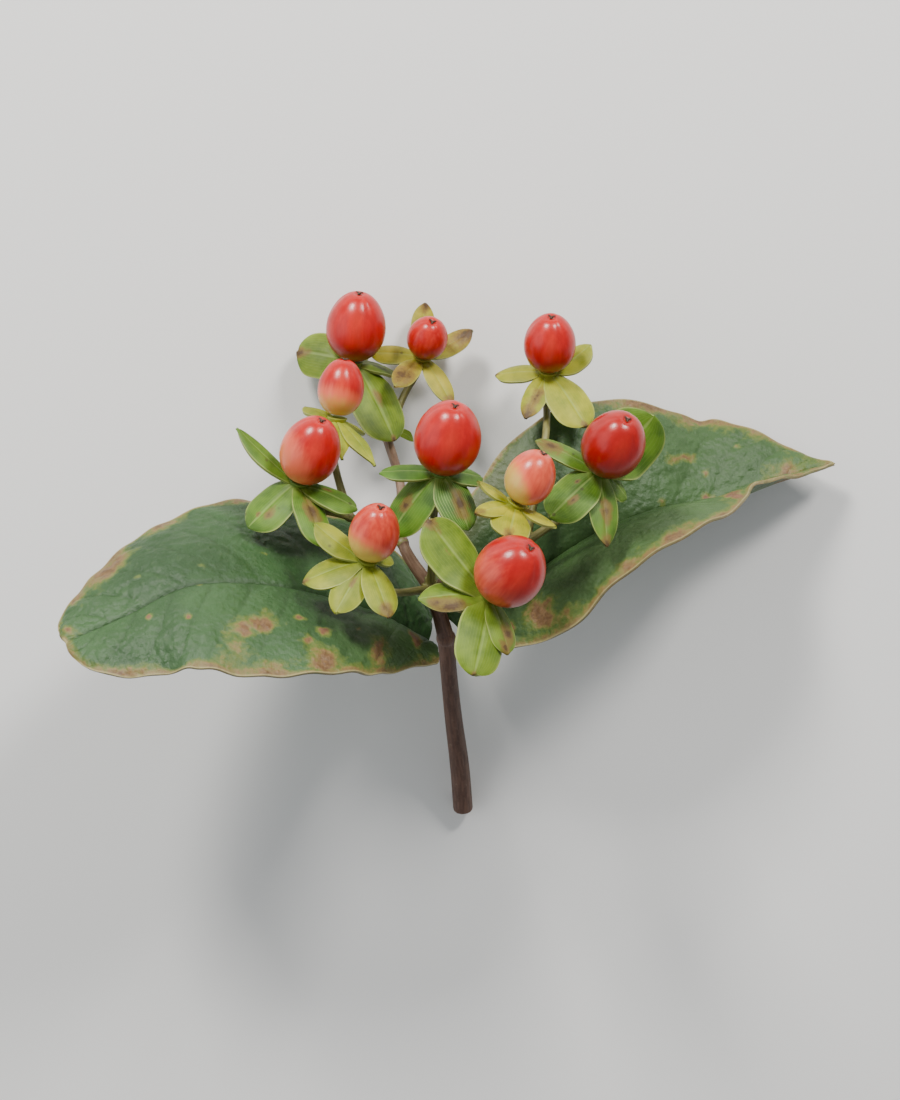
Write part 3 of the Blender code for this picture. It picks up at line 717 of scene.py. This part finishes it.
def sepal_blade(number, index):
    """The formula of one sepal, with the facts its finish needs."""
    compass, droop, length, width, curl = SEPALS[number][index]
    base, right, back, axis = berry_frame(number)
    out = turned(right, back, compass)
    side = np.cross(axis, out)
    spine = [base - axis * 0.95 + out * 0.9]
    for i in range(SPINE_STEPS):
        angle = droop + curl * (2 * (i + 0.5) / SPINE_STEPS - 0.7)
        spine.append(spine[-1] + turned(out, -axis, angle) * length / SPINE_STEPS)
    marks = BROWN.get((number, index), [])
    blunt = BLUNT[number][index]
    roll, broader = ROLL.get((number, index), (0, 1.0))
    turn = number * 5 + index

    def point(s, t):
        x = s * SPINE_STEPS
        i = min(int(x), SPINE_STEPS - 1)
        centre = spine[i] + (spine[i + 1] - spine[i]) * (x - i)
        normal = turned(axis, out, droop + curl * (2 * s - 0.7))
        half = width / 2 * broader * sepal_width(s, blunt)
        lean = roll * smooth(0.05, 0.45, s)
        sideways, face = turned(side, normal, lean), turned(normal, -side, lean)
        keel = -0.16 * math.exp(-(t * half / 0.35) ** 2) * smooth(1.0, 0.7, s)
        ribs = 0.010 * math.cos(t * VEIN_LANES * 2 * math.pi)
        wave = 0.16 * t * abs(t) * math.sin(5.5 * s + turn) * width / 6
        place = centre + sideways * half * t + face * (keel + ribs + wave - half * 0.22 * t ** 2)
        brown = 0.0
        for a, b, r in marks:
            gap = math.hypot((s - a) * length * 0.7, (t - b) * half * 1.3) / (r * length)
            brown = max(brown, 1.10 - 0.80 * gap)
        return place, {"blade": (s, t, turn), "yellow": YELLOWNESS[number], "brown": max(brown, 0.0),
                       "veined": 0.60 if (number, index) == (6, 2) else 0.12}

    return point


def receptacle(number):
    """The small cup that the sepals and the berry stand on."""
    base, right, back, axis = berry_frame(number)
    bpy.ops.mesh.primitive_cone_add(vertices=24, radius1=0.8 * MM, radius2=1.7 * MM, depth=1.6 * MM)
    cup = bpy.context.object
    axes = Matrix((tuple(right), tuple(back), tuple(axis))).transposed().to_4x4()
    cup.data.transform(LAY @ Matrix.Translation(Vector(base - axis * 1.1) * MM) @ axes)
    soften = cup.modifiers.new("soften", "BEVEL")
    soften.width = 0.25 * MM
    soften.segments = 3
    apply_all(cup)
    count = len(cup.data.vertices)
    give(cup, "blade", "FLOAT_VECTOR", [(0.2, 0.1, 0)] * count)
    give(cup, "yellow", "FLOAT", [YELLOWNESS[number]] * count)
    give(cup, "brown", "FLOAT", [0.1] * count)
    give(cup, "veined", "FLOAT", [0.0] * count)
    give(cup, "under", "FLOAT", [0.5] * count)
    bpy.ops.object.shade_smooth_by_angle(angle=SHARP)
    return cup


for number in SEPALS:
    pieces = [receptacle(number)]
    for index in range(5):
        pieces.append(grid_blade("sepal", SEPAL_CELLS, sepal_blade(number, index)))
    star = join(pieces, "star_%d" % number)
    slot = "sepal_yellow" if number in YELLOW_STARS else "sepal_green"
    finish_piece(star, blade.mat, slot, "calyx_%d" % number)
print("stars of sepals:", len(SEPALS), "with", len(star.data.polygons), "faces each")

# %% [markdown]
# ## Leaves
#
# The two old leaves are leathery and lightly quilted: a sunken midrib, side veins that leave it
# and run forward, and a skin that bulges between them. They have begun to scorch. The edge has a
# cream line and ochre bands, and tan blotches with a yellow-green rim lie mostly along the near
# side. The blotches are placed in the leaf's own measure, so they stay with the blade.

# %% Leaf finish
leafy = Finish("leaf_skin", 0.43)
broad = leafy.noise(55.0, 3.0)
grain = leafy.noise(420.0, 6.0, roughness=0.65)
speck = leafy.noise(1300.0, 5.0, roughness=0.65)
base = leafy.mix(leafy.step(broad, 0.35, 0.65), (0.018, 0.053, 0.013), (0.036, 0.092, 0.025))
base = leafy.mix(leafy.times(leafy.step(grain, 0.45, 0.75), 0.5), base, (0.044, 0.098, 0.034))
base = leafy.mix(leafy.times(leafy.step(speck, 0.50, 0.75), 0.25), base, (0.075, 0.120, 0.045))
# Painted shade: the sunken midrib and side veins are painted darker on the upper side.
base = leafy.mix(leafy.times(leafy.fact("vein"), 0.60), base, (0.012, 0.032, 0.008))
# Lighter green: partly the leaves' own fresher tone, partly painted light on near halves that lie in shade.
base = leafy.mix(leafy.fact("fresh_and_painted_light"), base, (0.060, 0.110, 0.028))
base = leafy.mix(leafy.fact("dull"), base, (0.085, 0.090, 0.040))
burn = leafy.math("ADD", leafy.fact("burn"), leafy.times(leafy.math("SUBTRACT", grain, 0.5), 0.9))
burn = leafy.math("ADD", burn, leafy.times(leafy.math("SUBTRACT", speck, 0.5), 0.6))
tan = leafy.mix(leafy.step(speck, 0.35, 0.7), (0.095, 0.052, 0.018), (0.20, 0.120, 0.045))
tan = leafy.mix(leafy.fact("rust"), tan, (0.17, 0.075, 0.045))
body = leafy.mix(leafy.step(burn, 0.24, 0.50), base, (0.085, 0.125, 0.022))
body = leafy.mix(leafy.step(burn, 0.46, 0.66), body, (0.17, 0.135, 0.036))
body = leafy.mix(leafy.step(burn, 0.60, 0.80), body, tan)
body = leafy.mix(leafy.fact("cream"), body, (0.36, 0.31, 0.13))
dusty = leafy.mix(leafy.step(grain, 0.35, 0.7), (0.075, 0.125, 0.055), (0.115, 0.170, 0.080))
dusty = leafy.mix(leafy.times(leafy.fact("vein"), 0.6), dusty, (0.17, 0.22, 0.11))
dusty = leafy.mix(leafy.step(burn, 0.50, 0.80), dusty, (0.19, 0.13, 0.06))
body = leafy.mix(leafy.fact("under"), body, dusty)
leafy.colour(body)
pebble = leafy.node("ShaderNodeTexVoronoi", {"Vector": leafy.object_coords, "Scale": 1150.0},
                        feature="SMOOTH_F1").outputs["Distance"]
height = leafy.math("ADD", leafy.times(grain, 0.8), leafy.times(speck, 0.5))
height = leafy.math("SUBTRACT", height, leafy.times(pebble, 0.55))
leafy.bump(height, 0.00026, 1.0)
leafy.shader.inputs["Specular IOR Level"].default_value = 0.35
print(leafy.mat.name, "made")

# %% Leaf marks
# Blotches: along, across (-1 far edge to 1 near edge), radius along and across in mm, strength, rust.
BLOTCHES = {
    "leaf_left": [
        (0.49, 0.50, 2.6, 1.5, 1.0, 0.2), (0.53, 0.60, 1.6, 1.4, 0.9, 0.2), (0.55, 0.76, 2.4, 3.6, 0.57, 0.0),
        (0.56, 0.93, 3.4, 1.8, 0.60, 0.0), (0.46, 0.92, 2.6, 1.4, 0.58, 0.0),
        (0.40, 0.45, 1.0, 0.8, 0.9, 0.3), (0.35, 0.58, 1.5, 1.0, 0.95, 0.7), (0.385, 0.70, 1.3, 1.1, 0.9, 0.3),
        (0.36, 0.88, 2.4, 2.6, 0.95, 0.2), (0.20, 0.74, 2.0, 2.4, 1.0, 0.2), (0.07, 0.45, 1.4, 2.6, 0.95, 0.6),
        (0.77, 0.25, 0.9, 0.8, 0.95, 0.6), (0.67, 0.45, 0.8, 0.7, 0.9, 0.6), (0.58, 0.65, 0.8, 0.6, 0.6, 0.2),
        (0.60, -0.20, 0.8, 0.7, 0.5, 0.0), (0.63, 0.02, 0.7, 0.5, 0.7, 0.3), (0.73, -0.40, 0.8, 0.6, 0.65, 0.4),
        (0.42, -0.30, 0.8, 0.6, 0.65, 0.3), (0.25, 0.50, 0.9, 0.7, 0.75, 0.3),
        (0.75, -0.86, 4.6, 2.4, 0.95, 0.05),
        (0.56, -1.0, 4.0, 1.8, 0.85, 0.0), (0.38, -1.0, 3.2, 1.2, 0.8, 0.2), (0.08, 0.95, 3.0, 1.2, 0.62, 0.0),
        (0.88, -0.95, 2.5, 1.6, 0.8, 0.0), (0.86, 0.98, 2.0, 1.4, 0.75, 0.2), (0.97, -0.3, 1.5, 1.5, 0.7, 0.3),
    ],
    "leaf_right": [
        (0.17, 0.72, 2.2, 2.4, 1.0, 0.2), (0.20, 0.9, 3.2, 1.6, 0.6, 0.0), (0.10, 0.70, 1.2, 1.2, 0.85, 0.7),
        (0.65, -0.05, 1.6, 1.3, 1.0, 0.7), (0.62, 0.80, 2.2, 3.0, 1.0, 0.6), (0.58, -0.45, 2.2, 1.0, 0.90, 0.5),
        (0.53, -0.05, 0.9, 0.7, 0.7, 0.4), (0.65, -0.30, 0.9, 0.7, 0.7, 0.4), (0.97, -0.2, 7.0, 5.0, 0.62, 0.0),
        (0.86, -0.05, 3.4, 2.4, 1.0, 0.0), (0.85, 0.0, 1.4, 1.1, 1.2, 0.5), (0.63, -1.0, 8.5, 2.6, 0.95, 0.1),
        (0.80, -1.0, 3.5, 1.6, 0.85, 0.1), (0.43, 0.95, 3.4, 2.0, 1.0, 0.1), (0.32, 1.0, 4.5, 1.8, 0.9, 0.1),
        (0.50, -1.0, 5.5, 2.2, 0.95, 0.1), (0.25, -1.0, 6.0, 1.2, 0.6, 0.2), (0.77, 0.95, 3.0, 1.3, 0.8, 0.1),
        (0.93, 0.7, 2.0, 1.2, 0.9, 0.3), (0.75, -0.6, 0.8, 0.6, 0.6, 0.3), (0.45, -0.6, 0.8, 0.6, 0.6, 0.3),
    ],
}
LEAF_CELLS = (210, 124)
LEAF_BULGE = 1.2          # how far a half leaf arches up between midrib and edge, mm
LOBE = (0.20, 0.07, 2.2)  # the right leaf's near edge swells: where along, over what part, mm
MARK_SEED = 11            # the marks' outlines stray by a seeded noise, the same on every run
noise.seed_set(MARK_SEED)
SIDE_VEINS = 10           # on each side of the midrib
VEIN_SWEEP = 0.13         # how far forward a side vein has run when it reaches the edge
VEIN_OFFSET = 0.35        # how far the far side's veins are shifted, in gaps between veins
leaf_length = {name: float(np.linalg.norm(np.diff(np.array(leaf["midrib"], float), axis=0), axis=1).sum())
               for name, leaf in LEAVES.items()}
print({name: round(v, 1) for name, v in leaf_length.items()}, "mm long;",
      {name: len(rows) for name, rows in BLOTCHES.items()}, "marks")


# %% Leaf shapes
def leaf_blade(name):
    """The formula of one leaf, with the facts its finish needs."""
    leaf = LEAVES[name]
    full = leaf_length[name]
    marks = BLOTCHES[name]
    seed = 3.0 if name == "leaf_left" else 47.0
    cache = {}

    def rib(s):
        if s not in cache:
            centre = spline(leaf["midrib"], s)
            forward = unit(spline(leaf["midrib"], s + 0.01) - spline(leaf["midrib"], s - 0.01))
            back = unit((-forward[1], forward[0], 0))
            back = back if back[1] > 0 else -back
            up = np.cross(forward, back)
            up = up if up[2] > 0 else -up
            sides = []
            for side in ("far", "near"):
                width, lift, sweep = spline(leaf[side], s)
                width = max(width, 0) * math.sqrt(max(1 - s ** 8, 0))
                out = turned(turned(back if side == "far" else -back, up, lift), forward, sweep)
                sides.append((width, out))
            cache[s] = (centre, up, sides)
        return cache[s]

    def point(s, t):
        centre, up, sides = rib(s)
        width, out = sides[0 if t < 0 else 1]
        u = abs(t)
        reach = width * u
        lobe = 0.0
        if name == "leaf_right" and t > 0:
            lobe = LOBE[2] * math.exp(-((s - LOBE[0]) / LOBE[1]) ** 2) * u ** 3
        place = centre + out * (reach + lobe)
        bulge = LEAF_BULGE * math.sin(math.pi * u) * min(1, width / 15)
        ripple = leaf["wave"] * u ** 2 * math.sin(17 * s + (0.6 if t < 0 else 2.4)) * min(1, 4 * (1 - s))
        ripple += 0.22 * u ** 4 * math.sin(61 * s + 3 * t) * min(1, 6 * (1 - s))
        lane = (s - VEIN_SWEEP * u ** 1.3 + (VEIN_OFFSET if t < 0 else 0.0) / SIDE_VEINS) * SIDE_VEINS
        off = abs(lane - round(lane)) / SIDE_VEINS * full
        strength = smooth(1.0, 0.75, u) * smooth(0.0, 0.8, reach)
        side_vein = math.exp(-(off / (0.42 - 0.2 * u)) ** 2) * strength
        quilt = (1 - abs(2 * (lane % 1) - 1) ** 2.5) * smooth(0.5, 4.0, reach) * smooth(1.0, 0.8, u)
        pucker = math.sin(2.4 * reach + 1.3 * math.sin(3 * lane)) * math.sin(math.pi * (lane % 1)) * strength
        midrib = math.exp(-(reach / (0.80 - 0.45 * s)) ** 2)
        spot = Vector((s * full, t * width, seed))
        rough = (noise.noise(spot * 0.30) * 0.16 + noise.noise(spot * 0.95) * 0.14
                 + noise.noise(spot * 1.9) * 0.06)
        relief = 0.20 * quilt + 0.04 * pucker - 0.09 * side_vein - 0.55 * midrib * (1 - 0.6 * s)
        relief += rough * smooth(0.3, 2.0, reach) * smooth(1.0, 0.9, u)
        place = place + up * (bulge + ripple + relief)
        edge = min(width * (1 - u), (1 - s) * full)
        drift = noise.noise_vector(spot * 0.30) * 1.5 + noise.noise_vector(spot * 0.9) * 0.6
        band = 1.5 + 3.0 * noise.noise(Vector((s * 9, t, seed))) + (1.0 if t > 0 else 0.2)
        burn = 0.72 * smooth(max(0.4, band), 0.0, edge)
        rust = 0.0
        for a, b, ra, rb, power, red in marks:
            stray = min(1.0, ra / 2.2)
            gap = math.hypot(((s - a) * full + drift.x * stray) / ra,
                             ((t - b) * width + drift.y * stray) / rb)
            weight = power * (1.05 - 0.58 * gap if ra > 1.6 else 1.15 - 0.75 * gap)
            if weight > burn:
                burn = weight
                rust = red
        # Lighter green: a fresher tone along the edge near the base, over the whole right leaf and toward its
        # tip. The near half of the right leaf and the near base of the left one, which lie in shade, get painted
        # light.
        fresh_and_painted_light = 0.5 * smooth(2.2, 0.5, edge) * smooth(0.45, 0.1, s)
        if name == "leaf_right":
            fresh_and_painted_light = max(fresh_and_painted_light, 0.30 + 0.25 * smooth(0.1, 0.5, t), 0.75 * smooth(0.80, 0.97, s))
        else:
            fresh_and_painted_light = max(fresh_and_painted_light, 0.55 * smooth(0.05, 0.6, t) * smooth(0.42, 0.15, s))
        dull = 0.75 * smooth(0.45, 0.85, -t) * smooth(0.42, 0.20, s) if name == "leaf_right" else 0.0
        # vein marks the sunken veins. The finish paints them darker on top as painted shade, and paler
        # underneath.
        return place, {"vein": max(midrib, 0.5 * side_vein), "burn": max(burn, 0.0), "rust": rust,
                       "cream": 0.85 * smooth(0.32, 0.0, edge), "fresh_and_painted_light": fresh_and_painted_light, "dull": dull}

    return point


for name in LEAVES:
    big = grid_blade(name + "_blade", LEAF_CELLS, leaf_blade(name))
    finish_piece(big, leafy.mat, "leaf", name)
    print(big.name, len(big.data.polygons), "faces")

# %% [markdown]
# ## Stem
#
# The stem, its branches and the pedicels grew as one piece, so they are one skin here. Tapered
# tubes are laid along the branches with a small swelling at each fork, and a fine remesh melts
# them together. The old stem is red-brown, and the young pedicels are yellow-green.

# %% Stem finish
bark = Finish("stem_skin", 0.5)
streaks = bark.noise(1.0, 4.0, bark.stretch(bark.fact("grain", "Vector"), (2.6, 2.6, 0.35)))
old = bark.mix(bark.step(streaks, 0.35, 0.65), (0.070, 0.030, 0.017), (0.125, 0.060, 0.036))
young = bark.mix(bark.step(streaks, 0.35, 0.65), (0.11, 0.10, 0.022), (0.20, 0.19, 0.05))
pink = bark.mix(bark.step(streaks, 0.4, 0.7), (0.13, 0.07, 0.04), (0.21, 0.13, 0.08))
tone = bark.mix(bark.step(bark.fact("young"), 0.0, 0.5), old, pink)
tone = bark.mix(bark.step(bark.fact("young"), 0.5, 1.0), tone, young)
specks = bark.step(bark.noise(1500.0, 3.0), 0.62, 0.75)
tone = bark.mix(bark.times(specks, 0.4), tone, (0.22, 0.15, 0.09))
wood = bark.mix(bark.step(bark.noise(2200.0), 0.35, 0.65), (0.26, 0.17, 0.075), (0.42, 0.31, 0.16))
wood = bark.mix(bark.step(bark.fact("rim"), 0.36, 0.24), wood, (0.20, 0.11, 0.05))
bark.colour(bark.mix(bark.fact("cut"), tone, wood))
bark.bump(bark.math("ADD", streaks, bark.times(bark.noise(1800.0), 0.4)), 0.00012, 0.8)
print(bark.mat.name, "made")

# %% Stem shape
STALK_VOXEL = 0.00016     # how fine the melted skin is, in metres
RUN_STEPS = 60            # points along each branch that the grain is measured from
# How young a branch is: 0 for old brown wood, 0.5 for pink and 1 for yellow-green.
YOUNG = {"main": 0.0, "back_left": 0.5, "right": 0.6}
runs = []
for name, rows in STEMS.items():
    runs.append((name, [(*p, r) for p, r in rows], YOUNG[name]))
for number, (start, bend) in PEDICELS.items():
    base_point, _, _, axis = berry_frame(number)
    end = base_point - axis * PEDICEL_END
    rows = [(*start, 0.7), (*bend, PEDICEL_R), (*(end - axis * 2.5), PEDICEL_R), (*end, 0.75)]
    runs.append(("pedicel_%d" % number, rows, 0.95))
# Swellings at the forks: place and radius.
FORKS = [(-2.4, 0.0, 10.0, 1.45), (-9.5, 23.0, 23.4, 0.98), (12.5, 2.0, 17.5, 1.05), (-15.0, 4.6, 20.5, 0.85),
         (-6.8, 4.0, 16.0, 1.05), (0.0, 0.0, 0.4, 1.6)]
tubes = [round_tube(name, rows, sides=16, steps=40) for name, rows, _ in runs]
for x, y, z, r in FORKS:
    bpy.ops.mesh.primitive_ico_sphere_add(subdivisions=3, radius=r * MM, location=laid((x, y, z)))
    bpy.ops.object.transform_apply()
    tubes.append(bpy.context.object)
stalk = join(tubes, "stalk")
stalk.data.remesh_voxel_size = STALK_VOXEL
bpy.ops.object.voxel_remesh()
relax = stalk.modifiers.new("relax", "CORRECTIVE_SMOOTH")
relax.iterations = 4
relax.use_only_smooth = True
apply_all(stalk)

# For the grain: a row of points along every branch, each with its two cross directions.
centres, across_rows = [], []
for name, rows, young_value in runs:
    length = float(np.linalg.norm(np.diff(np.array(rows)[:, :3], axis=0), axis=1).sum())
    for i in range(RUN_STEPS + 1):
        here = path_point(rows, length * i / RUN_STEPS)
        ahead = (path_point(rows, min(length * (i + 0.5) / RUN_STEPS, length))
                 - path_point(rows, max(length * (i - 0.5) / RUN_STEPS, 0)))
        forward = unit(laid(ahead[:3]) - laid((0, 0, 0)))
        e1 = unit(np.cross(forward, (1, 0.2, 0.1)))
        centres.append(laid(here[:3]))
        across_rows.append((e1, np.cross(forward, e1), length * i / RUN_STEPS, young_value))
centres = np.array(centres)
coords = np.empty(len(stalk.data.vertices) * 3, np.float32)
stalk.data.vertices.foreach_get("co", coords)
coords = coords.reshape(-1, 3)
# The cut face: 1 on its flat, and how far out from its middle each point is.
cut_place = laid(STEMS["main"][0][0])
cut_way = unit(laid(STEMS["main"][1][0]) - cut_place)
cut = np.clip(1.6 - (coords - cut_place) @ cut_way / (0.16 * MM), 0, 1)
rim = np.linalg.norm(coords - cut_place, axis=1) / (STEMS["main"][0][1] * MM)
cut *= np.clip((1.0 - rim) / 0.12, 0, 1)
grain_rows, young_rows = [], []
for block in np.array_split(coords, 60):       # in blocks, to spare memory
    nearest = ((block[:, None, :] - centres[None, :, :]) ** 2).sum(2).argmin(1)
    for vertex, k in zip(block, nearest):
        e1, e2, run_length, young_value = across_rows[k]
        offset = (vertex - centres[k]) / MM
        grain_rows.append((float(offset @ e1), float(offset @ e2), run_length))
        young_rows.append(young_value)
give(stalk, "grain", "FLOAT_VECTOR", grain_rows)
give(stalk, "young", "FLOAT", young_rows)
give(stalk, "cut", "FLOAT", cut)
give(stalk, "rim", "FLOAT", rim)
bpy.ops.object.shade_smooth()
finish_piece(stalk, bark.mat, "bark", "stem")
print("stalk:", len(stalk.data.polygons), "faces")

# %% [markdown]
# ## Bract
#
# One little grey-green scale leaf is left at the fork behind.

# %% Bract
def bract_blade(s, t):
    """The formula of the scale leaf."""
    start, end = np.array(BRACT[0]), np.array(BRACT[1])
    side = unit(np.cross(end - start, (0, -0.8, 0.6)))
    arch = np.array((0.5, 0, 0.9)) * math.sin(math.pi * s) * 0.5
    place = start + (end - start) * s + arch + side * BRACT[2] / 2 * sepal_width(s) * t
    return place, {"blade": (s, t, 60), "yellow": 0.25, "brown": 0.15 * s, "veined": 0.2}


scale_leaf = grid_blade("scale_leaf", (14, 8), bract_blade)
finish_piece(scale_leaf, blade.mat, "sepal_green", "bract")
print("scale leaf:", len(scale_leaf.data.polygons), "faces")

# %% [markdown]
# ## Measure and finish
#
# The last cell counts the triangles that the new pieces add.

# %% Sizes
added = [obj for obj in bpy.context.scene.objects
         if obj.type == "MESH" and obj.get("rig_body") and not obj.get("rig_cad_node")]
total = sum(len(face.vertices) - 2 for obj in added for face in obj.data.polygons)
print("triangles added:", total)
